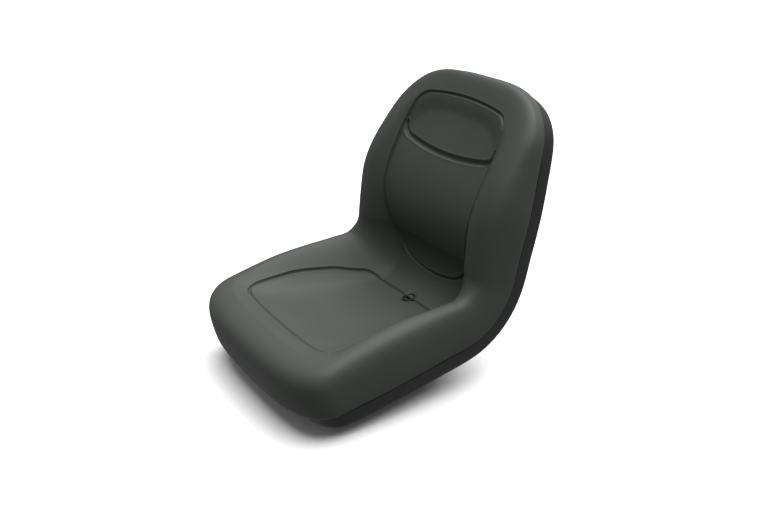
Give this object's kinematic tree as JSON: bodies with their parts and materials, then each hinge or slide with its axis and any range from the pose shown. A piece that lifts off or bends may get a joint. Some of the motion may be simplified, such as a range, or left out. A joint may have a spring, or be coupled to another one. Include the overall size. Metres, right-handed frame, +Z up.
{
  "type": "ride on mower seat",
  "caption": "High-backed bucket seat for a ride on mower: moulded foam pad with side bolsters on a drawn sheet pan with level mounting rails and a drain hole.",
  "frame": {"origin": "centre of the four mounting bolt holes, on the level underside of the mounting rails", "axes": "+Z up, +Y from the front of the seat to its back, so the sitter faces -Y, X across the seat"},
  "size_m": [0.4778, 0.583, 0.5183],
  "materials": {
    "pad_skin": "satin integral skin over polyurethane foam",
    "pan_coat": "satin black powder coat",
    "tube_rubber": "matte",
    "nut_zinc": "zinc plated",
    "stud_plastic": "matte moulded nylon"
  },
  "bodies": {
    "root": {"cushion": "pad_skin", "seat_pan": "pan_coat", "rail_left": "pan_coat", "rail_right": "pan_coat", "drain_tube": "tube_rubber", "switch_plug": "stud_plastic", "weld_nut_1": "nut_zinc", "weld_nut_2": "nut_zinc", "weld_nut_3": "nut_zinc", "weld_nut_4": "nut_zinc", "pad_stud_1": "stud_plastic", "pad_stud_2": "stud_plastic", "pad_stud_3": "stud_plastic", "pad_stud_4": "stud_plastic", "pad_stud_5": "stud_plastic", "pad_stud_6": "stud_plastic", "pad_stud_7": "stud_plastic", "pad_stud_8": "stud_plastic"}
  },
  "joints": []
}
